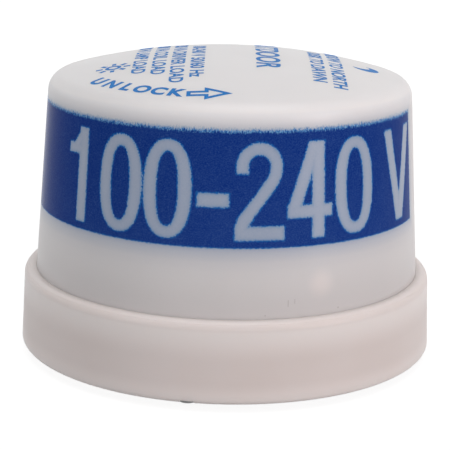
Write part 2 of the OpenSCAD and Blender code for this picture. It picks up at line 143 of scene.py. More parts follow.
class CoverSettings(bpy.types.PropertyGroup):
    radius: length("Radius", "Outer radius of the cover inside the ring", 38.23)
    wall: length("Wall", "Wall thickness", 2.2)
    draft: angle("Draft", "Inward lean of the wall above the ring", 4.08)
    shoulder: length("Shoulder", "Rounding between the wall and the crown", 3.6)
    crown: length("Crown", "Radius of the domed crown", 124.0)
    bead_middle: length("Bead middle", "Height of the snap bead's middle", 12.0)
    bead_height: length("Bead height", "Height of the snap bead", 1.6)
    bead_depth: length("Bead depth", "Depth of the snap bead", 0.5)
    key_width: length("Key slot width", "Width of the slots for the base's keys", 5.4)
    key_height: length("Key slot height", "Height of the slots for the base's keys", 3.7)
    steps: IntProperty(name="Steps", description="Steps of the spun wall", default=600, min=32)
    plastic: colour("Plastic", "Colour of the moulded plastic", 231, 229, 230)
    shade: colour("Plastic shade", "Colour of its faint mottle", 228, 226, 227)
    scuff: colour("Scuff", "Colour of the faint handling marks", 176, 170, 168)
    # Colour of the painted highlight, a soft pale spot on the wall
    painted_highlight: colour("Painted highlight", "Colour of the soft spot on the wall", 252, 243, 241)
    # Painted shade: the plastic darker where the ring stands behind it
    painted_backed_shade: colour("Painted backed shade", "Tint of the plastic where the ring stands behind it", 240, 239, 239)
    # Painted light: the shoulder lighter, standing for light from the crown leaving the plastic
    glow: colour("Painted shoulder glow", "Colour of the plastic where the crown's light leaves it", 248, 246, 247)


class BandSettings(bpy.types.PropertyGroup):
    words: StringProperty(name="Words", description="Figures left bare in the band", default="100-240 V")
    low: length("Lower edge", "Height of the band's lower edge", 29.62)
    top: length("Upper edge", "Height of the band's upper edge", 50.62)
    left: angle("Left end", "Direction of the left end from the front", -168.0)
    right: angle("Right end", "Direction of the right end from the front", 71.0)
    first: angle("First figure", "Direction of the first figure's left side", -53.8)
    foot: length("Foot of the figures", "Height at which the figures stand", 31.1)
    height: length("Height of the figures", "Height of the figures", 17.35)
    width: length("Width of the figures", "Width of a figure", 8.85)
    stroke: length("Stroke", "Width of the figures' strokes", 2.45)
    # Painted light and shade: reach of the blue tinge painted beside the ink
    glow: length("Painted tinge reach", "Distance over which the ink tints the bare plastic", 1.6)
    ink: colour("Ink", "Colour of the printed band", 14, 54, 140)
    ink_edge: colour("Ink edge", "Colour of thin ink along its edges", 26, 122, 204)
    worn: colour("Worn ink", "Colour of the ink where it is thin", 60, 94, 164)
    fringe: colour("Fringe", "Colour of the streaks along the upper edge", 128, 190, 238)
    halo: colour("Halo", "Colour of the ink's spread along its edges", 128, 168, 205)
    # Painted light and shade: colour of the blue tinge painted beside the ink
    cast: colour("Cast", "Tint of the plastic beside the ink", 133, 170, 214)


class BaseSettings(bpy.types.PropertyGroup):
    lean: length("Lean", "Inward lean of the ring from foot to rim", 0.62)
    wall: length("Wall", "Thickness of the ring at its rim", 2.3)
    foot_wall: length("Foot wall", "Thickness of the ring at its foot", 2.4)
    rim_round: length("Rim rounding", "Rounding of the outer top edge", 1.5)
    foot_round: length("Foot rounding", "Rounding of the outer bottom edge", 0.8)
    lip_close: length("Lip close", "Inward draw of the ring's inner top edge", 0.08)
    lead_in: length("Lead-in", "Chamfer of the ring's inner top edge", 0.03)
    foot: length("Foot", "Height of the ring's foot above the seat", 1.5)
    boss: length("Boss", "Radius of the boss that holds the blades", 22.0)
    boss_round: length("Boss rounding", "Rounding of the boss's edge", 0.3)
    post_reach: length("Post reach", "Distance of the posts from the axis", 29.53)
    post_radius: length("Post radius", "Radius of the posts", 3.25)
    post_top: length("Post top", "Height of the posts' tops", 12.0)
    pilot_radius: length("Pilot radius", "Radius of the screws' holes", 1.45)
    pilot_foot: length("Pilot foot", "Height of the holes' ends", 6.55)
    key_width: length("Key width", "Width of the keys", 5.0)
    key_height: length("Key height", "Height of the keys", 3.5)
    key_depth: length("Key depth", "Depth of the keys", 1.8)
    blade_reach: length("Blade reach", "Radius of the circle that the blades lie on", 16.65)
    slot_wall: length("Slot width", "Width of the blades' slots across the blade", 1.6)
    slot_gap: length("Slot gap", "Gap at each end of a blade's slot", 0.15)
    neutral: length("Neutral blade", "Width of the neutral blade", 10.0)
    live: length("Live blades", "Width of the other blades", 8.0)
    weep: angle("Weep notch", "Direction of the weep notch from the front", -9.3)
    weep_width: length("Weep width", "Width of the weep notch", 2.8)
    weep_height: length("Weep height", "Height of the weep notch", 0.5)
    seam: length("Seam", "Depth of the mould's parting line on the rim", 0.06)
    steps: IntProperty(name="Steps", description="Steps of the spun ring", default=288, min=32)
    plastic: colour("Plastic", "Colour of the moulded plastic", 234, 225, 223)
    shade: colour("Plastic shade", "Colour of its faint mottle", 231, 221, 218)
    # Painted light: the ring lighter below its rim and above its foot
    glow: colour("Painted edge glow", "Colour of the plastic where light enters its edges", 250, 241, 239)
    # Painted shade: the rim's inner top darker beside the cover
    lip: colour("Lip", "Colour of the rim beside the cover", 222, 212, 208)


class TrimSettings(bpy.types.PropertyGroup):
    print_depth: length("Print depth", "Thickness of the ink on the crown", 0.04)
    word_reach: length("Word reach", "Distance of the curved word from the axis", 30.4)
    word_height: length("Word height", "Letter height of the curved word", 3.0)
    arrow_stroke: length("Arrow stroke", "Width of the arrow's outline", 0.74)
    sign_size: length("Sign size", "Width of the day and night signs", 6.4)
    print_ink: colour("Crown ink", "Colour of the print on the crown", 0, 112, 190)
    print_thin: colour("Crown ink, thin", "Colour of thin ink on the crown", 26, 136, 208)
    gasket_hole: length("Gasket hole", "Radius of the gasket's hole", 22.3)
    gasket_round: length("Gasket rounding", "Rounding of the gasket's edges", 0.35)
    foam: colour("Foam", "Colour of the gasket", 58, 58, 60)
    blade_bevel: length("Blade bevel", "Rounding of the blades' edges", 0.14)
    brass: colour("Brass", "Colour of the blades", 226, 190, 118)
    tarnish: colour("Tarnish", "Colour of the blades where they are dull", 186, 142, 74)


class InsideSettings(bpy.types.PropertyGroup):
    mask: colour("Solder mask", "Colour of the board", 24, 92, 56)
    trace: colour("Trace", "Colour of the board over its copper", 44, 122, 74)
    zinc: colour("Zinc", "Colour of the screws", 196, 198, 200)
    tin: colour("Tin", "Colour of leads and solder", 205, 206, 208)
    relay: colour("Relay", "Colour of the relay's can", 34, 76, 150)
    varistor: colour("Varistor", "Colour of the varistor's coat", 196, 92, 34)
    film: colour("Film capacitor", "Colour of the film capacitor", 214, 178, 58)
    sleeve: colour("Filter sleeve", "Colour of the filter capacitor", 38, 42, 92)
    delay: colour("Delay sleeve", "Colour of the delay capacitor", 30, 30, 34)
    stripe: colour("Sleeve stripe", "Colour of the stripe on a sleeve", 168, 172, 182)
    lens: colour("Lens", "Colour of the sensor's lens", 190, 204, 214)
    black: colour("Moulding", "Colour of chips, diodes and transistors", 34, 34, 36)
    glass: colour("Glass bead", "Colour of the zener diode", 214, 120, 64)
    coat: colour("Power coat", "Colour of the power resistor", 116, 134, 146)
    lacquer: colour("Lacquer", "Colour of the small resistors", 212, 184, 140)


class StageSettings(bpy.types.PropertyGroup):
    lens: FloatProperty(name="Lens", description="Focal length in millimetres", default=119.59,
                        subtype="DISTANCE_CAMERA")
    distance: length("Distance", "Distance of the camera from its target", 302.15)
    elevation: angle("Elevation", "Angle at which the camera looks down", 14.545)
    roll: angle("Roll", "Turn of the camera about its view", 1.256)
    target: FloatVectorProperty(name="Target", description="Point that the camera looks at",
                                default=(-0.00044, 0.0, 0.024279), subtype="TRANSLATION", unit="LENGTH")
    floor: length("Floor", "Width of the floor", 6000.0)
    key: power("Key light", "Power of the light from the right", 1.3)
    top: power("Top light", "Power of the light overhead", 2.05)
    fill: power("Fill light", "Power of the light from the left", 0.5)
    low: power("Low light", "Power of the light from the front", 0.3)
    sky: FloatProperty(name="Sky", description="Strength of the even light", default=0.4, min=0.0)
    warm: colour("Key colour", "Colour of the light from the right", 255, 238, 234)


class PhotocellSettings(bpy.types.PropertyGroup):
    cover: PointerProperty(type=CoverSettings)
    band: PointerProperty(type=BandSettings)
    base: PointerProperty(type=BaseSettings)
    trim: PointerProperty(type=TrimSettings)
    inside: PointerProperty(type=InsideSettings)
    stage: PointerProperty(type=StageSettings)


# Modelling

def leave_edit():
    bpy.ops.object.mode_set(mode="OBJECT")


def select_mesh():
    bpy.ops.mesh.select_all(action="SELECT")


def apply_place():
    bpy.ops.object.transform_apply(location=True, rotation=True, scale=True)


def deselect():
    if bpy.context.mode != "OBJECT":
        leave_edit()
    bpy.ops.object.select_all(action="DESELECT")


def pick(*objects):
    deselect()
    for obj in objects:
        obj.select_set(True)
    bpy.context.view_layer.objects.active = objects[0]


def named(name):
    obj = bpy.context.object
    obj.name = name
    obj.data.name = name
    return obj


def edit_all():
    bpy.ops.object.mode_set(mode="EDIT")
    select_mesh()


def turn_outwards():
    """Turns every face outwards and leaves edit mode."""
    bpy.ops.mesh.normals_make_consistent(inside=False)
    leave_edit()


def modified(obj, kind, **settings):
    """Adds a modifier to a shape and applies it."""
    pick(obj)
    bpy.ops.object.modifier_add(type=kind)
    modifier = obj.modifiers[-1]
    for key, value in settings.items():
        setattr(modifier, key, value)
    bpy.ops.object.modifier_apply(modifier=modifier.name)
    return obj


def drawn_chain(name, points):
    """Extrudes one vertex from point to point and stays in edit mode."""
    deselect()
    bpy.ops.mesh.primitive_circle_add(vertices=3, radius=MM)
    obj = named(name)
    edit_all()
    bpy.ops.mesh.merge(type="CENTER")
    bpy.ops.transform.translate(value=points[0])
    for start, end in zip(points, points[1:]):
        step = tuple(b - a for a, b in zip(start, end))
        bpy.ops.mesh.extrude_region_move(TRANSFORM_OT_translate={"value": step})
    select_mesh()
    return obj


def spun(name, section, steps, sweep=FULL_TURN):
    """Spins a section of radius and height about Z. A part turn gets its ends filled."""
    obj = drawn_chain(name, [(r, 0.0, z) for r, z in section])
    if sweep < FULL_TURN:
        bpy.ops.mesh.remove_doubles(threshold=1e-7)
    bpy.ops.mesh.spin(steps=steps, angle=sweep, center=(0.0, 0.0, 0.0), axis=(0.0, 0.0, 1.0))
    if sweep < FULL_TURN:
        select_mesh()
        bpy.ops.mesh.fill_holes(sides=len(section))
    select_mesh()
    bpy.ops.mesh.remove_doubles(threshold=2e-6)
    turn_outwards()
    return obj


def block(name, low, high):
    """A box between two corners, with its place in its mesh."""
    deselect()
    middle = [(a + b) / 2 for a, b in zip(low, high)]
    size = [b - a for a, b in zip(low, high)]
    bpy.ops.mesh.primitive_cube_add(size=1.0, location=middle, scale=size)
    obj = named(name)
    apply_place()
    return obj


def rod(name, radius, low, high, reach, vertices=64):
    """An upright rod at a distance from the axis along +X."""
    deselect()
    bpy.ops.mesh.primitive_cylinder_add(vertices=vertices, radius=radius, depth=high - low,
                                        location=(reach, 0.0, (low + high) / 2))
    obj = named(name)
    apply_place()
    return obj


def turned(obj, degrees):
    pick(obj)
    obj.rotation_euler.z = math.radians(degrees)
    apply_place()
    return obj


def repeated(obj, angles):
    """Copies a shape that lies along +X to each angle and joins the copies."""
    copies = [obj]
    for _ in angles[1:]:
        pick(obj)
        bpy.ops.object.duplicate()
        copies.append(bpy.context.object)
    for copy, degrees in zip(copies, angles):
        turned(copy, degrees)
    pick(*copies)
    bpy.ops.object.join()
    return obj


def combined(obj, tool, operation):
    """Cuts a tool from a shape or adds it, and removes the tool."""
    modified(obj, "BOOLEAN", operation=operation, solver="EXACT", object=tool)
    bpy.data.objects.remove(tool)
    return obj


def arc(centre, radius, first, last, steps):
    """Points of an arc, with angles from straight up towards the outside."""
    points = []
    for i in range(steps + 1):
        t = first + (last - first) * i / steps
        points.append((centre[0] + radius * math.sin(t), centre[1] + radius * math.cos(t)))
    return points


def straight(start, end, steps):
    """Points between two ends, with both."""
    return [(start[0] + (end[0] - start[0]) * i / steps, start[1] + (end[1] - start[1]) * i / steps)
            for i in range(steps + 1)]


def copied_node(node, name, bevel):
    """A merged copy of a CAD node with its facets joined and its edges rounded."""
    obj = bpy.data.objects.new(name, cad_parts[node].data.copy())
    obj.data.name = name
    bpy.context.scene.collection.objects.link(obj)
    pick(obj)
    edit_all()
    bpy.ops.mesh.remove_doubles(threshold=1e-7)
    bpy.ops.mesh.dissolve_limited(angle_limit=math.radians(0.6))
    return modified(obj, "BEVEL", width=bevel, segments=2, limit_method="ANGLE",
                    angle_limit=math.radians(40.0))


def settled(obj, material, slot, *nodes, smooth=30.0, closed=True):
    """Gives a finished piece its material and its place in the frame."""
    mesh = obj.data
    if not mesh.polygons:
        raise RuntimeError(f"{obj.name} has no faces")
    if closed:
        edges = np.empty(len(mesh.loops), dtype=np.int32)
        mesh.loops.foreach_get("edge_index", edges)
        uses = np.bincount(edges, minlength=len(mesh.edges))
        if (uses != 2).any():
            raise RuntimeError(f"{obj.name} has {(uses != 2).sum()} open edges")
    mesh.materials.clear()
    mesh.materials.append(material)
    pick(obj)
    bpy.ops.object.shade_smooth_by_angle(angle=math.radians(smooth))
    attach(obj, "root")
    if nodes:
        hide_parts(*nodes)
    deselect()
    return obj


def points_of(obj):
    points = np.empty(len(obj.data.vertices) * 3, dtype=np.float32)
    obj.data.vertices.foreach_get("co", points)
    return points.reshape(-1, 3).astype(float)


def write_attribute(obj, name, values):
    layer = obj.data.attributes.new(name, "FLOAT", "POINT")
    layer.data.foreach_set("value", np.ascontiguousarray(values, dtype=np.float32))


# The printed band: distances in mm to each stroke, negative inside

def bar(x, y, start, end, width):
    """A straight stroke with square ends."""
    run = math.hypot(end[0] - start[0], end[1] - start[1])
    ux, uy = (end[0] - start[0]) / run, (end[1] - start[1]) / run
    along = np.abs((x - start[0]) * ux + (y - start[1]) * uy - run / 2) - run / 2
    across = np.abs((y - start[1]) * ux - (x - start[0]) * uy) - width / 2
    outside = np.hypot(np.maximum(along, 0.0), np.maximum(across, 0.0))
    return outside + np.minimum(np.maximum(along, across), 0.0)


def bow(x, y, centre, radius, width, first, last):
    """A curved stroke between two angles in degrees."""
    middle, half = (first + last) / 2, (last - first) / 2
    heading = np.degrees(np.arctan2(y - centre[1], x - centre[0]))
    off = np.abs((heading - middle + 180.0) % 360.0 - 180.0)
    ring = np.abs(np.hypot(x - centre[0], y - centre[1]) - radius) - width / 2
    past = np.radians(np.maximum(off - half, 0.0)) * radius
    return np.where(off <= half, ring, np.hypot(np.maximum(ring, 0.0), past))


def oval(x, y, centre, half_width, half_height, power=2.35):
    """A filled oval with slightly straight sides."""
    across = np.abs(x - centre[0]) / half_width + 1e-6
    along = np.abs(y - centre[1]) / half_height + 1e-6
    size = (across ** power + along ** power) ** (1.0 / power)
    steep = np.hypot(across ** (power - 1.0) / half_width, along ** (power - 1.0) / half_height)
    return (size - 1.0) * size ** (power - 1.0) / steep


def figure_one(x, y, w, h, t):
    stem = bar(x, y, (w - t / 2, 0.0), (w - t / 2, h), t)
    flag = bar(x, y, (0.0, h - 4.1), (w - t / 2, h - 3.9), 1.8)
    neck = bar(x, y, (w - t - 1.4, h - 4.2), (w - t / 2, h - 0.7), 1.7)
    return np.minimum(stem, np.minimum(flag, neck))


def figure_two(x, y, w, h, t):
    bowl, near = (w * 0.487, h - 4.12), 3.08
    hip, far = (bowl[0] + near - 5.4, bowl[1]), 5.4
    turn, wide = (w * 0.575, 1.7), 3.9
    ends = [(c[0] + r * math.cos(math.radians(a)), c[1] + r * math.sin(math.radians(a)))
            for c, r, a in ((hip, far, -37.0), (turn, wide, 145.0))]
    strokes = [
        bow(x, y, bowl, near, t * 0.87, -10.0, 184.0),
        bar(x, y, (bowl[0] - near, bowl[1] + 0.5), (bowl[0] - near, h - 5.45), t * 0.87),
        bow(x, y, hip, far, t * 0.87, -50.0, 4.0),
        bar(x, y, ends[0], ends[1], t * 0.86),
        bow(x, y, turn, wide, t * 0.93, 131.0, 206.0),
        bar(x, y, (0.0, t * 0.5), (w, t * 0.5), t),
    ]
    return np.maximum(np.minimum.reduce(strokes), -y)


def figure_four(x, y, w, h, t):
    stem = bar(x, y, (w - 2.9, 0.0), (w - 2.9, h), t)
    shelf = bar(x, y, (0.0, 4.9), (w - 0.1, 4.9), t * 0.92)
    slope = bar(x, y, (1.05, 5.0), (w - 3.3, h + 0.6), t * 0.95)
    return np.maximum(np.minimum(stem, np.minimum(shelf, np.maximum(slope, 4.0 - y))), y - h)


def figure_nought(x, y, w, h, t):
    centre = (w / 2, h / 2)
    rim = oval(x, y, centre, w / 2 + 0.1, h / 2 + 0.1)
    hole = oval(x, y, centre, w / 2 + 0.1 - t, h / 2 + 0.1 - t * 0.82)
    return np.maximum(rim, -hole)


def figure_dash(x, y, w, h, t):
    return bar(x, y, (0.5, h * 0.41), (6.15, h * 0.41), t)


def figure_volt(x, y, w, h, t):
    wide = w * 1.23
    legs = [bar(x, y, (side, h + 1.0), (wide / 2, -0.6), t) for side in (t / 2 - 0.25, wide - t / 2 + 0.25)]
    return np.maximum(np.minimum(*legs), np.maximum(-y, y - h))


# Each sign with its stroke function and the room it takes, in widths of a figure
FIGURES = {
    "0": (figure_nought, 1.07), "1": (figure_one, 1.06), "2": (figure_two, 1.07), "4": (figure_four, 1.09),
    "-": (figure_dash, 0.82), "V": (figure_volt, 1.3), " ": (None, 0.4),
}
ONE_WIDTH = 0.63


def printed_band(obj, cover, band):
    """Writes how deep each point lies in the ink, how frayed the ink is, and painted light and shade that
    turns the bare plastic beside the band and inside the figures bluer and darker.
    """
    x, y, z = points_of(obj).T / MM
    reach = np.hypot(x, y)
    rim = BASE_HIGH.z / MM
    wall = cover.radius / MM - (z - rim) * math.tan(cover.draft)
    middle = (band.low + band.top) / 2 / MM
    per_radian = cover.radius / MM - (middle - rim) * math.tan(cover.draft)
    heading = np.arctan2(x, -y)
    around = heading * per_radian
    low, top = band.low / MM, band.top / MM
    left, right = band.left * per_radian, band.right * per_radian
    sides = np.minimum(around - left, right - around)
    field = np.minimum(np.minimum(z - low, top - z), sides)
    figures = np.full(len(x), FAR_OFF)
    pen = band.first * per_radian
    w, h, t = band.width / MM, band.height / MM, band.stroke / MM
    for sign in band.words:
        draw, room = FIGURES[sign]
        if draw:
            wide = w * ONE_WIDTH if sign == "1" else w
            figures = np.minimum(figures, draw(around - pen, z - band.foot / MM, wide, h, t))
        pen += room * w
    ink = np.minimum(field, figures)
    bare = np.maximum(-ink, 0.0)
    # Painted light and shade: the bare plastic tinged bluer and darker beside the band and inside the
    # figures, standing for light passing through the ink
    beside = np.where(z > top, 0.33, 0.62) * np.exp(-bare / (band.glow / MM))
    tint = np.where(figures < field, 0.64 + 0.28 * np.exp(-bare / 0.3), beside)
    fray = 0.06 + 0.1 * (figures < field) + 0.4 * np.clip(1.3 - np.abs(top - z) / 1.4, 0.0, 1.0)
    outside = (reach > wall - 0.4) & (z > rim)
    write_attribute(obj, "ink", np.where(outside, ink, -FAR_OFF))
    write_attribute(obj, "tint", np.where(outside, np.clip(tint, 0.0, 1.0), 0.0))
    write_attribute(obj, "fray", fray)


# Materials

class Nodes:
    """The nodes of a material or of the world, one call for each."""

    def __init__(self, tree):
        self.tree = tree
        tree.nodes.clear()

    def add(self, kind, inputs=None, **settings):
        node = self.tree.nodes.new(kind)
        for key, value in settings.items():
            setattr(node, key, value)
        for key, value in (inputs or {}).items():
            if isinstance(value, bpy.types.NodeSocket):
                self.tree.links.new(value, node.inputs[key])
            else:
                node.inputs[key].default_value = value
        return node

    def shader(self, kind, inputs=None):
        return self.add(kind, inputs).outputs[0]

    def math(self, operation, first, second=0.0):
        return self.add("ShaderNodeMath", {0: first, 1: second}, operation=operation).outputs[0]

    def times(self, first, second):
        return self.math("MULTIPLY", first, second)

    def plus(self, first, second):
        return self.math("ADD", first, second)

    def minus(self, first, second):
        return self.math("SUBTRACT", first, second)

    def seen(self):
        """1 for rays that show the white surroundings: to the eye, mirrored or let through."""
        path = self.add("ShaderNodeLightPath").outputs
        passed = self.math("MAXIMUM", path["Is Glossy Ray"], path["Is Transmission Ray"])
        return self.math("MAXIMUM", path["Is Camera Ray"], passed)


class Recipe(Nodes):
    """A material whose textures lie on the object."""

    def __init__(self, name):
        self.material = bpy.data.materials.new(name)
        self.material.use_nodes = True
        super().__init__(self.material.node_tree)
        self.place = self.add("ShaderNodeTexCoord").outputs["Object"]

    def attribute(self, name):
        return self.add("ShaderNodeAttribute", attribute_name=name).outputs["Fac"]

    def noise(self, size, detail=2.0, roughness=0.5, place=None):
        """Noise from 0 to 1 with features of about this size in metres."""
        return self.add("ShaderNodeTexNoise", {
            "Vector": place or self.place, "Scale": 1.0 / size, "Detail": detail, "Roughness": roughness,
        }).outputs["Fac"]

    def stretched(self, rise):
        """The object's place with its heights scaled, for streaks up and down or around."""
        return self.add("ShaderNodeMapping", {"Vector": self.place, "Scale": (1.0, 1.0, rise)}).outputs[0]

    def ramp(self, value, start, end):
        """A smooth step from 0 at start to 1 at end."""
        return self.add("ShaderNodeMapRange", {"Value": value, "From Min": start, "From Max": end},
                        interpolation_type="SMOOTHSTEP").outputs[0]

    def spread(self, value, low, high):
        """A value from 0 to 1 brought between two others."""
        return self.add("ShaderNodeMapRange", {"Value": value, "To Min": low, "To Max": high}).outputs[0]

    def mix(self, factor, first, second, blend="MIX"):
        return self.add("ShaderNodeMix", {0: factor, 6: first, 7: second}, data_type="RGBA",
                        blend_type=blend).outputs[2]

    def vector(self, operation, first, second=(0.0, 0.0, 0.0)):
        return self.add("ShaderNodeVectorMath", {0: first, 1: second}, operation=operation).outputs

    def axis(self, direction, centre=(0.0, 0.0, 0.0)):
        """Distance along a direction from a centre."""
        moved = self.vector("SUBTRACT", self.place, centre)[0]
        return self.vector("DOT_PRODUCT", moved, direction)["Value"]

    def distance(self, spot=(0.0, 0.0, 0.0)):
        """Distance from a spot in mm."""
        return self.vector("DISTANCE", self.place, [c * MM for c in spot])["Value"]

    def bump(self, height, depth, strength=1.0, normal=None):
        inputs = {"Height": height, "Distance": depth, "Strength": strength}
        if normal:
            inputs["Normal"] = normal
        return self.add("ShaderNodeBump", inputs).outputs["Normal"]

    def output(self, shader):
        self.add("ShaderNodeOutputMaterial", {"Surface": shader})
        return self.material

    def finished(self, inputs):
        return self.output(self.shader("ShaderNodeBsdfPrincipled", inputs))

    def moulded(self, inputs):
        """Satin plastic that light enters a little, with a faint ripple and a fine pebble."""
        ripple = self.bump(self.noise(0.012, 1.0), 0.00003, 0.2)
        return self.finished({
            "IOR": 1.49, "Subsurface Radius": (1.0, 0.92, 0.88), "Subsurface Scale": 0.003,
            "Normal": self.bump(self.noise(0.0003, 2.0, 0.6), 0.000008, 0.3, ripple), **inputs,
        })


def dimmed(shade, share):
    return tuple(share * c for c in shade[:3]) + (1.0,)


def printed_plastic(cover, band):
    """Translucent white plastic with a blue print that bleeds a little at its edges."""
    r = Recipe("printed_translucent_plastic")
    height, fray = r.axis(UP), r.attribute("fray")
    # The ink's edge, from its distance, long hairs and short teeth
    upright = r.stretched(0.4)
    hairs = r.minus(r.noise(0.0002, 3.0, 0.65, upright), 0.5)
    wander = r.minus(r.noise(0.0011, 2.0), 0.5)
    frayed = r.times(fray, r.plus(r.times(hairs, 4.0), wander))
    teeth = r.times(r.minus(r.noise(0.00024, 1.0), 0.5), 0.52)
    edge = r.plus(r.plus(r.attribute("ink"), frayed), teeth)
    solid = r.ramp(edge, -0.04, 0.06)
    halo = r.times(r.ramp(edge, r.minus(-0.2, r.times(fray, 0.8)), 0.02), 0.75)
    deep = r.ramp(edge, 0.02, r.plus(0.26, r.times(fray, 0.6)))
    streaks = r.ramp(r.noise(0.00026, 2.0, 0.6, upright), 0.4, 0.58)
    fringe = r.times(r.times(r.ramp(fray, 0.28, 0.44), r.ramp(edge, 0.58, 0.16)), streaks)
    # The bare plastic, with its marks, a painted highlight, painted shade near the ring, painted light on the
    # shoulder, and painted light and shade tinged blue beside the ink
    plastic = r.mix(r.ramp(r.noise(0.02, 2.0), 0.3, 0.75), cover.plastic, cover.shade)
    marks = r.times(r.ramp(r.noise(0.0016, 4.0, 0.6), 0.7, 0.76), r.ramp(r.noise(0.013), 0.56, 0.64))
    plastic = r.mix(r.times(marks, 0.4), plastic, cover.scuff)
    for x, z, half_width, half_height in COVER_SCRATCHES:
        spot = (x * MM, -cover.radius, z * MM)
        across = between(ACROSS, spot, -half_width * MM, half_width * MM)(r)
        along = between(UP, spot, -half_height * MM, half_height * MM)(r)
        near = between((0.0, 1.0, 0.0), spot, -3.0 * MM, 12.0 * MM)(r)
        plastic = r.mix(r.times(r.times(across, along), r.times(near, 0.5)), plastic, cover.scuff)
    # Painted highlight: a soft pale spot on the front of the wall
    painted_highlight = r.times(r.ramp(r.distance(COVER_PAINTED_HIGHLIGHT), 3.6 * MM, 0.4 * MM), 0.55)
    plastic = r.mix(painted_highlight, plastic, cover.painted_highlight)
    # Painted shade: the wall darker towards the ring that stands behind it
    painted_backed_shade = r.ramp(height, BASE_HIGH.z + 9.0 * MM, BASE_HIGH.z)
    plastic = r.mix(painted_backed_shade, plastic, cover.painted_backed_shade, "MULTIPLY")
    # Painted light: the shoulder just above the band made lighter
    shoulder = r.times(r.ramp(height, band.top - 0.1 * MM, band.top + 1.6 * MM),
                       r.ramp(height, band.top + 4.7 * MM, band.top + 2.4 * MM))
    plastic = r.mix(shoulder, plastic, cover.glow)
    # Painted light and shade: the plastic tinged blue beside the ink and inside the figures; the halo over it
    # is the ink's own spread
    uneven = r.times(r.attribute("tint"), r.spread(r.noise(0.0003, 2.0, 0.6), 0.84, 1.14))
    plastic = r.mix(halo, r.mix(uneven, plastic, band.cast, "MULTIPLY"), band.halo)
    # The ink, with its fringe, specks and clouds
    inked = r.mix(r.times(fringe, 0.95), r.mix(deep, band.ink_edge, band.ink), band.fringe)
    specks = r.times(r.ramp(r.noise(0.00026, 2.0, 0.7, r.stretched(1.5)), 0.38, 0.72), 0.58)
    clouds = r.times(r.ramp(r.noise(0.004, 3.0, 0.6), 0.35, 0.7), 0.08)
    paler = r.times(r.ramp(height, band.top - 6.0 * MM, band.low), 0.1)
    inked = r.mix(r.plus(specks, r.plus(clouds, paler)), inked, band.worn)
    return r.moulded({
        "Base Color": r.mix(solid, plastic, inked),
        "Roughness": r.plus(r.spread(r.noise(0.006, 3.0), 0.34, 0.42), r.times(solid, -0.18)),
        "Specular IOR Level": r.spread(solid, 0.5, 0.014),
        "Subsurface Weight": r.spread(solid, 0.5, 0.0),
    })


def ring_plastic(base):
    """White moulded plastic, a little warmer than the cover, with painted light below its rim and above its
    foot and painted shade on its inner top edge beside the cover.
    """
    r = Recipe("moulded_white_plastic")
    mottle = r.mix(r.ramp(r.noise(0.02, 2.0), 0.3, 0.75), base.plastic, base.shade)
    height, top = r.axis(UP), BASE_HIGH.z
    # Painted light: the ring lighter below its rim and just above its foot
    rim = r.times(r.ramp(height, top - 7.5 * MM, top - 2.3 * MM),
                  r.ramp(height, top - 0.7 * MM, top - 2.0 * MM))
    foot = r.times(r.ramp(height, base.foot + 4.2 * MM, base.foot + 0.6 * MM), 0.7)
    reach = r.vector("LENGTH", r.vector("MULTIPLY", r.place, (1.0, 1.0, 0.0))[0])["Value"]
    ring_in = BASE_HIGH.x - base.lean - base.wall
    # Painted shade: the rim's inner top darker beside the cover
    lip = r.times(r.ramp(reach, ring_in + 1.2 * MM, ring_in), r.ramp(height, top - 0.6 * MM, top - 0.2 * MM))
    painted_lit = r.mix(r.math("MAXIMUM", rim, foot), mottle, base.glow)
    return r.moulded({
        "Base Color": r.mix(lip, painted_lit, base.lip),
        "Roughness": r.spread(r.noise(0.005, 3.0), 0.36, 0.48),
        "Specular IOR Level": 0.45,
        "Subsurface Weight": 0.5,
    })


def crown_ink(trim):
    r = Recipe("crown_print_ink")
    thin = r.times(r.ramp(r.noise(0.0005, 4.0, 0.65), 0.42, 0.68), 0.7)
    return r.finished({
        "Base Color": r.mix(thin, trim.print_ink, trim.print_thin),
        "Roughness": r.spread(r.noise(0.001), 0.42, 0.56),
        "Specular IOR Level": 0.15,
    })


def foam(trim):
    """Closed-cell foam with pores, painted darker in their hollows as shade."""
    r = Recipe("closed_cell_foam")
    cells = r.add("ShaderNodeTexVoronoi", {"Vector": r.place, "Scale": 2600.0}).outputs["Distance"]
    pores = r.ramp(cells, 0.05, 0.55)
    shade = r.mix(r.ramp(r.noise(0.004, 3.0), 0.3, 0.7), trim.foam, tone(44, 44, 46))
    return r.finished({
        # Painted shade: darker in the pores' hollows
        "Base Color": r.mix(r.times(r.minus(1.0, pores), 0.6), shade, tone(22, 22, 23)),
        "Roughness": r.spread(pores, 0.95, 0.82),
        "Specular IOR Level": 0.25,
        "Normal": r.bump(pores, 0.00012, 0.7),
    })


def brass(trim):
    """Stamped brass, dull in patches, with fine drawing lines along its length."""
    r = Recipe("stamped_brass")
    drawn = r.noise(0.00012, 3.0, 0.6, r.stretched(0.03))
    dull = r.ramp(r.noise(0.004, 4.0), 0.42, 0.72)
    return r.finished({
        "Base Color": r.mix(r.times(dull, 0.75), trim.brass, trim.tarnish),
        "Metallic": 1.0,
        "Roughness": r.spread(r.plus(r.times(dull, 0.5), r.times(drawn, 0.5)), 0.2, 0.48),
        "Normal": r.bump(drawn, 0.00002, 0.4),
    })


def plated(name, shade, roughness):
    """Plated or tinned metal."""
    r = Recipe(name)
    dull = r.noise(0.0012, 4.0)
    return r.finished({
        "Base Color": r.mix(r.ramp(dull, 0.4, 0.75), shade, dimmed(shade, 0.7)),
        "Metallic": 1.0,
        "Roughness": r.spread(dull, roughness, roughness + 0.2),
        "Normal": r.bump(r.noise(0.0004, 3.0), 0.00002, 0.4),
    })


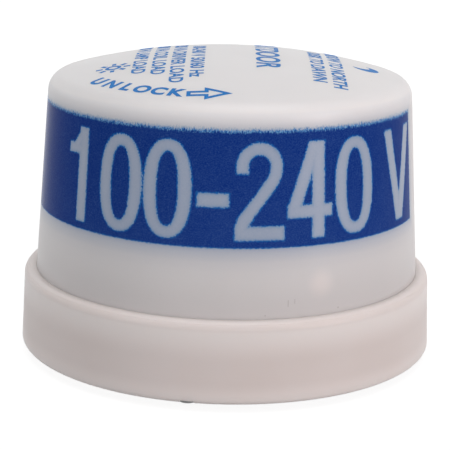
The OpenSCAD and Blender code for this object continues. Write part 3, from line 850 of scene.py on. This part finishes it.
def board_mask(inside):
    """Green solder mask over copper fields and traces."""
    r = Recipe("green_solder_mask")
    fields = r.add("ShaderNodeTexBrick", {
        "Vector": r.place, "Scale": 1.0, "Brick Width": 0.0076, "Row Height": 0.0051, "Mortar Size": 0.0005,
        "Color1": WHITE, "Color2": (0.75, 0.75, 0.75, 1.0), "Mortar": (0.0, 0.0, 0.0, 1.0),
    }).outputs["Color"]
    return r.finished({
        "Base Color": r.mix(fields, inside.mask, inside.trace),
        "Roughness": r.spread(r.noise(0.0005, 2.0), 0.28, 0.42),
        "Coat Weight": 0.15,
        "Normal": r.bump(fields, 0.00004, 0.6),
    })


def component(name, inside, body_mask, shades, roughness=0.4, metal=None, extra=None):
    """A component's body, with tinned leads where the mask is 0. Shades are (mask, colour) over the body."""
    r = Recipe(name)
    on_body = body_mask(r)
    body = r.mix(r.ramp(r.noise(0.002, 4.0), 0.4, 0.7), shades[0], dimmed(shades[0], 0.82))
    for make_mask, shade in shades[1:]:
        body = r.mix(make_mask(r), body, shade)
    leads = r.minus(1.0, on_body)
    return r.finished({
        "Base Color": r.mix(on_body, inside.tin, body),
        "Metallic": r.math("MAXIMUM", leads, metal(r)) if metal else leads,
        "Roughness": r.spread(r.noise(0.0008, 3.0), roughness, roughness + 0.12),
        "Normal": r.bump(r.noise(0.0005, 3.0), 0.00003, 0.5),
        **(extra or {}),
    })


def above(height, soft=0.00008):
    return lambda r: r.ramp(r.axis(UP), height - soft, height + soft)


def between(direction, centre, start, end, soft=0.00006):
    """1 where the distance along a direction lies between two values."""
    def make(r):
        along = r.axis(direction, centre)
        return r.times(r.ramp(along, start - soft, start + soft), r.ramp(along, end + soft, end - soft))
    return make


def middle_of(node):
    low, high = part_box(node)
    return tuple((low + high) / 2)


def dress(node, material):
    """Gives a CAD node that stays its material."""
    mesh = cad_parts[node].data
    mesh.materials.clear()
    mesh.materials.append(material)


# Operators

class PHOTOCELL_OT_cover_shell(bpy.types.Operator):
    """Spins the cover, cuts its key slots and prints the band"""
    bl_idname = "photocell.cover_shell"
    bl_label = "Cover Shell"

    def edge(self, cover, inset, crown_steps, shoulder_steps):
        """Crown and shoulder of the section, moved inwards."""
        lean = cover.draft
        rim = BASE_HIGH.z
        crown_foot = COVER_HIGH.z - cover.crown
        bend = max(cover.shoulder - inset, 0.3 * MM)
        wall_line = cover.radius * math.cos(lean) + rim * math.sin(lean)
        reach = cover.crown - inset - bend
        tip = math.asin((wall_line - inset - bend - crown_foot * math.sin(lean)) / reach) - lean
        centre = (reach * math.sin(tip), crown_foot + reach * math.cos(tip))
        crown = arc((0.0, crown_foot), cover.crown - inset, 0.0, tip, crown_steps)
        return crown + arc(centre, bend, tip, math.pi / 2 - lean, shoulder_steps)[1:]

    def section(self, cover, band):
        rim = BASE_HIGH.z
        floor = COVER_LOW.z
        outer = self.edge(cover, 0.0, 24, 10)
        foot = (cover.radius, rim)
        slope = (foot[0] - outer[-1][0]) / (outer[-1][1] - foot[1])
        below = band.low - 0.9 * MM
        for start, end, rows in ((band.top + 0.9 * MM, below, 64), (below, rim, 7)):
            first = (foot[0] - (start - rim) * slope, start)
            last = (foot[0] - (end - rim) * slope, end)
            skip = 1 if start == below else 0
            outer += straight(first, last, rows)[skip:]
        r, deep = cover.radius, cover.radius + cover.bead_depth
        high, flat = cover.bead_height / 2, cover.bead_height / 6
        bead = [(r, cover.bead_middle + high), (deep, cover.bead_middle + flat),
                (deep, cover.bead_middle - flat), (r, cover.bead_middle - high)]
        inner_r = r - cover.wall
        hem = [(r, floor), (inner_r, floor), (inner_r, rim - cover.wall * math.tan(cover.draft / 2))]
        inner = self.edge(cover, cover.wall, 10, 4)
        return outer + bead + hem + inner[::-1]

    def execute(self, context):
        cover, band = context.scene.photocell.cover, context.scene.photocell.band
        shell = spun("cover_shell", self.section(cover, band), cover.steps)
        half = cover.key_width / 2
        slots = block("key_slots", (cover.radius - 2 * cover.wall, -half, COVER_LOW.z - MM),
                      (cover.radius + cover.wall, half, COVER_LOW.z + cover.key_height))
        combined(shell, repeated(slots, KEY_ANGLES), "DIFFERENCE")
        printed_band(shell, cover, band)
        settled(shell, printed_plastic(cover, band), "cover", "cover")
        return {"FINISHED"}


class PHOTOCELL_OT_crown_print(bpy.types.Operator):
    """Letters the crown with its ratings and its turning arrow"""
    bl_idname = "photocell.crown_print"
    bl_label = "Crown Print"

    def placed(self, obj, spot):
        """Moves a flat sign over its spot on the crown, in mm."""
        pick(obj)
        obj.location = (spot[0] * MM, spot[1] * MM, OVER_CROWN)
        apply_place()
        return obj

    def lettering(self, words, height, spot, degrees, side="CENTER", bold=ROW_BOLD):
        """Flat letters with their middle height or end at a spot in mm, over the crown."""
        deselect()
        bpy.ops.object.text_add()
        obj = named("crown_letters")
        obj.data.body = words
        obj.data.align_x = side
        obj.data.offset = bold
        bpy.ops.object.convert(target="MESH")
        obj = bpy.context.object
        scale = height / points_of(obj)[:, 1].max()
        obj.scale = (scale, scale, 1.0)
        obj.location = (0.0, -height / 2, 0.0)
        apply_place()
        return self.placed(turned(obj, degrees), spot)

    def filled(self, name, outline):
        """Fills an outline in mm over the crown and stays in edit mode."""
        ring = [(x * MM, y * MM, OVER_CROWN) for x, y in outline]
        obj = drawn_chain(name, ring + ring[:1])
        bpy.ops.mesh.remove_doubles(threshold=1e-6)
        select_mesh()
        bpy.ops.mesh.edge_face_add()
        return obj

    def arrow(self, stroke):
        obj = self.filled("crown_arrow", CROWN_ARROW)
        bpy.ops.mesh.inset(thickness=stroke, depth=0.0)
        bpy.ops.mesh.delete(type="FACE")
        select_mesh()
        bpy.ops.mesh.subdivide(number_cuts=6)
        leave_edit()
        return obj

    def sun(self, spot, size):
        """A plain day sign: a disc's outline with eight rays."""
        deselect()
        bpy.ops.mesh.primitive_circle_add(vertices=32, radius=0.24 * size, fill_type="NGON")
        disc = named("crown_sun")
        edit_all()
        bpy.ops.mesh.inset(thickness=0.11 * size, depth=0.0)
        bpy.ops.mesh.delete(type="FACE")
        deselect()
        bpy.ops.mesh.primitive_plane_add(size=1.0, location=(0.41 * size, 0.0, 0.0))
        ray = bpy.context.object
        ray.scale = (0.2 * size, 0.12 * size, 1.0)
        apply_place()
        repeated(ray, [45.0 * i for i in range(8)])
        pick(disc, ray)
        bpy.ops.object.join()
        return self.placed(disc, spot)

    def moon(self, spot, size):
        """A plain night sign: a crescent."""
        size /= MM
        outer = arc(spot, 0.5 * size, math.radians(8.05), math.radians(261.95), 24)
        middle = (spot[0] - 0.226 * size, spot[1] + 0.226 * size)
        inner = arc(middle, 0.4 * size, math.radians(222.3), math.radians(47.7), 20)
        obj = self.filled("crown_moon", outer + inner[1:-1])
        leave_edit()
        return obj

    def execute(self, context):
        trim = context.scene.photocell.trim
        pieces = [self.arrow(trim.arrow_stroke), self.sun(CROWN_SUN, trim.sign_size),
                  self.moon(CROWN_MOON, 0.8 * trim.sign_size)]
        for words, x, end, height in CROWN_ROWS:
            pieces.append(self.lettering(words, height * MM, (x, end), -90.0, "RIGHT"))
        reach = trim.word_reach / MM
        for letter, heading in zip(CROWN_WORD, CROWN_WORD_ANGLES):
            spot = (reach * math.cos(math.radians(heading)), reach * math.sin(math.radians(heading)))
            pieces.append(self.lettering(letter, trim.word_height, spot, heading - 270.0, bold=WORD_BOLD))
        pick(*pieces)
        bpy.ops.object.join()
        print_piece = named("crown_print")
        edit_all()
        turn_outwards()
        modified(print_piece, "SHRINKWRAP", target=bpy.data.objects["cover_shell"], wrap_method="PROJECT",
                 use_project_x=False, use_project_y=False, use_project_z=True,
                 use_negative_direction=True, use_positive_direction=False)
        modified(print_piece, "SOLIDIFY", thickness=trim.print_depth, offset=0.0)
        edit_all()
        turn_outwards()
        settled(print_piece, crown_ink(trim), "cover")
        return {"FINISHED"}


class PHOTOCELL_OT_base_ring(bpy.types.Operator):
    """Spins the base and adds its posts, keys, slots, holes and weep notch"""
    bl_idname = "photocell.base_ring"
    bl_label = "Base Ring"

    def section(self, base, cover):
        foot_r, rim, floor = BASE_HIGH.x, BASE_HIGH.z, COVER_LOW.z
        under, low = GASKET_HIGH.z, BASE_LOW.z
        rim_r = foot_r - base.lean
        ring_in = rim_r - base.wall
        quarter = math.pi / 2
        boss_middle = (base.boss - base.boss_round, low + base.boss_round)
        boss = arc(boss_middle, base.boss_round, math.pi, quarter, 4)
        foot_middle = (foot_r - base.foot_round, base.foot + base.foot_round)
        foot = arc(foot_middle, base.foot_round, math.pi, quarter, 8)
        rim_middle = (rim_r - base.rim_round, rim - base.rim_round)
        rim_arc = arc(rim_middle, base.rim_round, quarter, math.radians(49.0), 6)
        rim_arc += arc(rim_middle, base.rim_round - base.seam, math.radians(46.0), math.radians(46.0), 1)[:1]
        rim_arc += arc(rim_middle, base.rim_round, math.radians(43.0), 0.0, 6)
        lip = ring_in - base.lip_close
        deep = ring_in + cover.bead_depth
        high, flat = cover.bead_height / 2, cover.bead_height / 6
        groove = [(ring_in, cover.bead_middle + high), (deep, cover.bead_middle + flat),
                  (deep, cover.bead_middle - flat), (ring_in, cover.bead_middle - high)]
        edge_in = foot_r - base.foot_wall
        return ([(0.0, low)] + boss + [(base.boss, under), (edge_in, under), (edge_in, base.foot)] + foot
                + straight(foot[-1], rim_arc[0], 10)[1:-1] + rim_arc
                + [(lip + base.lead_in, rim), (lip, rim - base.lead_in), (ring_in, rim - 0.5 * MM)] + groove
                + [(ring_in, floor), (0.0, floor)])

    def blade_slot(self, base, width, degrees):
        """A curved cutter for one blade."""
        near, far = base.blade_reach - base.slot_wall / 2, base.blade_reach + base.slot_wall / 2
        low, high = BASE_LOW.z - MM, COVER_LOW.z + MM
        sweep = (width + 2 * base.slot_gap) / base.blade_reach
        outline = [(near, low), (far, low), (far, high), (near, high), (near, low)]
        cutter = spun("blade_slot", outline, 12, sweep)
        points = points_of(cutter)
        heading = math.degrees(math.atan2(points[:, 1].mean(), points[:, 0].mean()))
        return turned(cutter, degrees - heading)

    def execute(self, context):
        base, cover = context.scene.photocell.base, context.scene.photocell.cover
        ring = spun("base_ring", self.section(base, cover), base.steps)
        floor = COVER_LOW.z
        posts = rod("posts", base.post_radius, floor - MM, base.post_top, base.post_reach)
        combined(ring, repeated(posts, POST_ANGLES), "UNION")
        ring_in = BASE_HIGH.x - base.lean - base.wall
        half = base.key_width / 2
        keys = block("keys", (ring_in - base.key_depth, -half, floor - MM),
                     (ring_in + base.wall / 2, half, floor + base.key_height))
        combined(ring, repeated(keys, KEY_ANGLES), "UNION")
        pilots = rod("pilot_holes", base.pilot_radius, base.pilot_foot, base.post_top + MM,
                     base.post_reach, 32)
        combined(ring, repeated(pilots, POST_ANGLES), "DIFFERENCE")
        for name, degrees in BLADE_ANGLES.items():
            width = base.neutral if name == "blade_neutral" else base.live
            combined(ring, self.blade_slot(base, width, degrees), "DIFFERENCE")
        half = base.weep_width / 2
        notch = block("weep_notch", (-half, -BASE_HIGH.x - MM, base.foot - MM),
                      (half, -BASE_HIGH.x + base.foot_wall + 0.5 * MM, base.foot + base.weep_height))
        combined(ring, turned(notch, math.degrees(base.weep)), "DIFFERENCE")
        settled(ring, ring_plastic(base), "base", "base")
        return {"FINISHED"}


class PHOTOCELL_OT_gasket_ring(bpy.types.Operator):
    """Spins the foam gasket with soft edges"""
    bl_idname = "photocell.gasket_ring"
    bl_label = "Gasket Ring"

    def execute(self, context):
        trim = context.scene.photocell.trim
        near, far, high = trim.gasket_hole, GASKET_HIGH.x, GASKET_HIGH.z
        soft = trim.gasket_round
        quarter = math.pi / 2
        corners = ((far - soft, high - soft, 0.0), (far - soft, soft, quarter),
                   (near + soft, soft, 2 * quarter), (near + soft, high - soft, 3 * quarter))
        section = []
        for r, z, start in corners:
            section += arc((r, z), soft, start, start + quarter, 5)
        ring = spun("gasket_ring", section + section[:1], 192)
        settled(ring, foam(trim), "gasket", "gasket")
        return {"FINISHED"}


class PHOTOCELL_OT_locking_blades(bpy.types.Operator):
    """Rounds the stamped edges of the three brass blades"""
    bl_idname = "photocell.locking_blades"
    bl_label = "Locking Blades"

    def execute(self, context):
        trim = context.scene.photocell.trim
        metal = brass(trim)
        for node in BLADE_ANGLES:
            settled(copied_node(node, f"{node}_brass", trim.blade_bevel), metal, "brass_blade", node)
        return {"FINISHED"}


class PHOTOCELL_OT_circuit_board(bpy.types.Operator):
    """Finishes the board, its screws and its solder"""
    bl_idname = "photocell.circuit_board"
    bl_label = "Circuit Board"

    def execute(self, context):
        inside = context.scene.photocell.inside
        dress("circuit_board", board_mask(inside))
        dress("board_screws", plated("zinc_plate", inside.zinc, 0.28))
        dress("solder_joints", plated("bright_solder", inside.tin, 0.16))
        return {"FINISHED"}


class PHOTOCELL_OT_large_components(bpy.types.Operator):
    """Finishes the relay, the capacitors and the varistor"""
    bl_idname = "photocell.large_components"
    bl_label = "Relay and Capacitors"

    def execute(self, context):
        inside = context.scene.photocell.inside
        body = above(DECK)
        dress("relay", component("relay_can", inside, body, [inside.relay], 0.3))
        dress("film_capacitor", component("film_box", inside, body, [inside.film], 0.26))
        dress("surge_varistor", component("varistor_coat", inside, body, [inside.varistor], 0.32))
        for node, shade in (("filter_capacitor", inside.sleeve), ("delay_capacitor", inside.delay)):
            low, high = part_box(node)
            half = (high.y - low.y) / 2
            stripe = between((0.0, -1.0, 0.0), middle_of(node), 0.82 * half, 2.0 * half)
            lid = above(high.z - 0.25 * MM)
            shades = [shade, (stripe, inside.stripe), (lid, inside.zinc)]
            dress(node, component(f"{node}_sleeve", inside, body, shades, 0.3, metal=lid))
        return {"FINISHED"}


class PHOTOCELL_OT_small_components(bpy.types.Operator):
    """Finishes the diodes, the resistors, the transistor, the chip and the sensor"""
    bl_idname = "photocell.small_components"
    bl_label = "Small Components"

    def lying(self, node, name, inside, degrees, body_length, base, rings, roughness):
        """An axial component: rings are (place along the body from -0.5 to 0.5, colour)."""
        heading = (math.cos(math.radians(degrees)), math.sin(math.radians(degrees)), 0.0)
        centre = middle_of(node)
        half = body_length * MM / 2
        width = body_length * MM * 0.045
        shades = [base]
        for spot, shade in rings:
            at = spot * body_length * MM
            shades.append((between(heading, centre, at - width, at + width), shade))
        dress(node, component(name, inside, between(heading, centre, -half, half), shades, roughness))

    def execute(self, context):
        inside = context.scene.photocell.inside
        brown, black, red, gold = tone(96, 52, 26), tone(20, 20, 20), tone(178, 40, 30), tone(196, 154, 62)
        grey = tone(176, 178, 182)
        self.lying("rectifier_diodes", "diode_moulding", inside, 90.0, 5.2, inside.black, [(0.34, grey)], 0.4)
        self.lying("zener_diode", "zener_bead", inside, 90.0, 4.0, inside.glass, [(0.3, black)], 0.12)
        self.lying("power_resistor", "power_coat", inside, 33.0, 14.0, inside.coat,
                   [(-0.32, brown), (-0.16, black), (0.0, red), (0.3, gold)], 0.5)
        self.lying("bias_resistors", "resistor_lacquer", inside, -33.0, 6.3, inside.lacquer,
                   [(-0.34, brown), (-0.17, black), (0.0, red), (0.33, gold)], 0.38)
        case = above(DECK + 2.5 * MM)
        dress("driver_transistor", component("transistor_moulding", inside, case, [inside.black], 0.46))
        case = between(ACROSS, middle_of("control_chip"), -3.21 * MM, 3.21 * MM)
        dress("control_chip", component("chip_moulding", inside, case, [inside.black], 0.48))
        lens = above(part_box("photo_sensor")[1].z - 6.3 * MM)
        clear = {"Transmission Weight": 0.55, "IOR": 1.5}
        dress("photo_sensor", component("sensor_lens", inside, lens, [inside.lens], 0.08, extra=clear))
        return {"FINISHED"}


class PHOTOCELL_OT_stage(bpy.types.Operator):
    """Sets the camera, the lights and the floor"""
    bl_idname = "photocell.stage"
    bl_label = "Stage"

    def aim(self, stage):
        """The camera's matrix at the photograph's angle."""
        e, roll = stage.elevation, stage.roll
        back = Vector((0.0, -math.cos(e), math.sin(e)))
        side = Vector((1.0, 0.0, 0.0))
        rise = back.cross(side)
        right = math.cos(roll) * side + math.sin(roll) * rise
        up = math.cos(roll) * rise - math.sin(roll) * side
        spot = Vector(stage.target) + stage.distance * back
        turn = Matrix((right, up, back)).transposed().to_4x4()
        return Matrix.Translation(spot) @ turn

    def lamp(self, name, watts, shade, size, distance, heading, rise, target):
        """A square soft light at a heading from the front and a rise, in degrees."""
        a, b = math.radians(heading), math.radians(rise)
        way = Vector((math.sin(a) * math.cos(b), -math.cos(a) * math.cos(b), math.sin(b)))
        deselect()
        bpy.ops.object.light_add(type="AREA", location=target + distance * way)
        lamp = named(name)
        lamp.rotation_euler = way.to_track_quat("Z", "Y").to_euler()
        lamp.data.energy = watts
        lamp.data.size = size
        lamp.data.color = shade

    def floor(self, width):
        """A pale floor that the eye sees white, with its shadow and painted shade under the base and behind
        the weep notch, and that light passes under the base.
        """
        deselect()
        bpy.ops.mesh.primitive_grid_add(x_subdivisions=8, y_subdivisions=8, size=width,
                                        location=(0.0, 0.0, -0.05 * MM))
        floor = named("studio_floor")
        r = Recipe("pale_floor")
        reach = r.distance()
        speck = r.mix(r.noise(0.02, 3.0), tone(166, 166, 166), tone(170, 170, 170))
        plain = r.shader("ShaderNodeBsdfDiffuse", {"Color": speck})
        shaded = r.shader("ShaderNodeBsdfDiffuse", {"Color": (0.2, 0.2, 0.2, 1.0)})
        # Painted shade: the floor's emission cut down under the base and at the spot seen through the weep
        # notch
        painted_lit = r.math("MINIMUM", r.ramp(reach, FLOOR_SHADE[0] * MM, FLOOR_SHADE[1] * MM),
                     r.ramp(r.distance(NOTCH_FLOOR), NOTCH_SHADE[0] * MM, NOTCH_SHADE[1] * MM))
        strength = r.times(r.spread(r.ramp(reach, 0.08, 0.4), 0.9, 0.98), r.spread(painted_lit, 0.15, 1.0))
        glow = r.shader("ShaderNodeEmission", {"Color": WHITE, "Strength": strength})
        white = r.shader("ShaderNodeAddShader", {0: shaded, 1: glow})
        top = r.shader("ShaderNodeMixShader", {0: r.seen(), 1: plain, 2: white})
        unseen = r.minus(1.0, r.add("ShaderNodeLightPath").outputs["Is Camera Ray"])
        gap = r.times(r.ramp(reach, FLOOR_GAP[0] * MM, FLOOR_GAP[1] * MM), unseen)
        under = r.math("MAXIMUM", r.add("ShaderNodeNewGeometry").outputs["Backfacing"], gap)
        clear = r.shader("ShaderNodeBsdfTransparent")
        surface = r.shader("ShaderNodeMixShader", {0: under, 1: top, 2: clear})
        floor.data.materials.append(r.output(surface))

    def sky(self, strength):
        world = bpy.data.worlds.new("studio")
        world.use_nodes = True
        bpy.context.scene.world = world
        n = Nodes(world.node_tree)
        soft = n.shader("ShaderNodeBackground", {"Color": WHITE, "Strength": strength})
        white = n.shader("ShaderNodeBackground", {"Color": WHITE})
        mix = n.shader("ShaderNodeMixShader", {0: n.seen(), 1: soft, 2: white})
        n.add("ShaderNodeOutputWorld", {"Surface": mix})

    def execute(self, context):
        stage = context.scene.photocell.stage
        deselect()
        bpy.ops.object.camera_add()
        camera = named("photo_camera")
        camera.matrix_world = self.aim(stage)
        camera.data.lens = stage.lens
        camera.data.sensor_width = 36.0
        camera.data.clip_start = 0.01
        context.scene.camera = camera
        context.scene.view_settings.view_transform = "Standard"
        target = Vector(stage.target)
        for name, setting, size, distance, heading, rise, warm in LAMPS:
            shade = stage.warm[:3] if warm else WHITE[:3]
            self.lamp(name, getattr(stage, setting), shade, size, distance, heading, rise, target)
        self.floor(stage.floor)
        self.sky(stage.sky)
        return {"FINISHED"}


class PHOTOCELL_PT_panel(bpy.types.Panel):
    """Lists the switch's pieces and their settings"""
    bl_idname = "PHOTOCELL_PT_panel"
    bl_label = "Photocell Switch"
    bl_space_type = "VIEW_3D"
    bl_region_type = "UI"
    bl_category = "Photocell"

    def draw(self, context):
        settings = context.scene.photocell
        for operator in OPERATORS:
            self.layout.operator(operator.bl_idname)
        for part in PhotocellSettings.__annotations__:
            group = getattr(settings, part)
            box = self.layout.box()
            for name in group.__annotations__:
                box.prop(group, name)


GROUPS = (CoverSettings, BandSettings, BaseSettings, TrimSettings, InsideSettings, StageSettings,
          PhotocellSettings)
OPERATORS = (
    PHOTOCELL_OT_cover_shell, PHOTOCELL_OT_crown_print, PHOTOCELL_OT_base_ring, PHOTOCELL_OT_gasket_ring,
    PHOTOCELL_OT_locking_blades, PHOTOCELL_OT_circuit_board, PHOTOCELL_OT_large_components,
    PHOTOCELL_OT_small_components, PHOTOCELL_OT_stage,
)


def register():
    for kind in GROUPS + OPERATORS + (PHOTOCELL_PT_panel,):
        bpy.utils.register_class(kind)
    bpy.types.Scene.photocell = PointerProperty(type=PhotocellSettings)


def unregister():
    del bpy.types.Scene.photocell
    for kind in reversed(GROUPS + OPERATORS + (PHOTOCELL_PT_panel,)):
        bpy.utils.unregister_class(kind)


def main():
    register()
    bpy.ops.photocell.cover_shell()
    bpy.ops.photocell.crown_print()
    bpy.ops.photocell.base_ring()
    bpy.ops.photocell.gasket_ring()
    bpy.ops.photocell.locking_blades()
    bpy.ops.photocell.circuit_board()
    bpy.ops.photocell.large_components()
    bpy.ops.photocell.small_components()
    bpy.ops.photocell.stage()


if __name__ == "__main__":
    main()
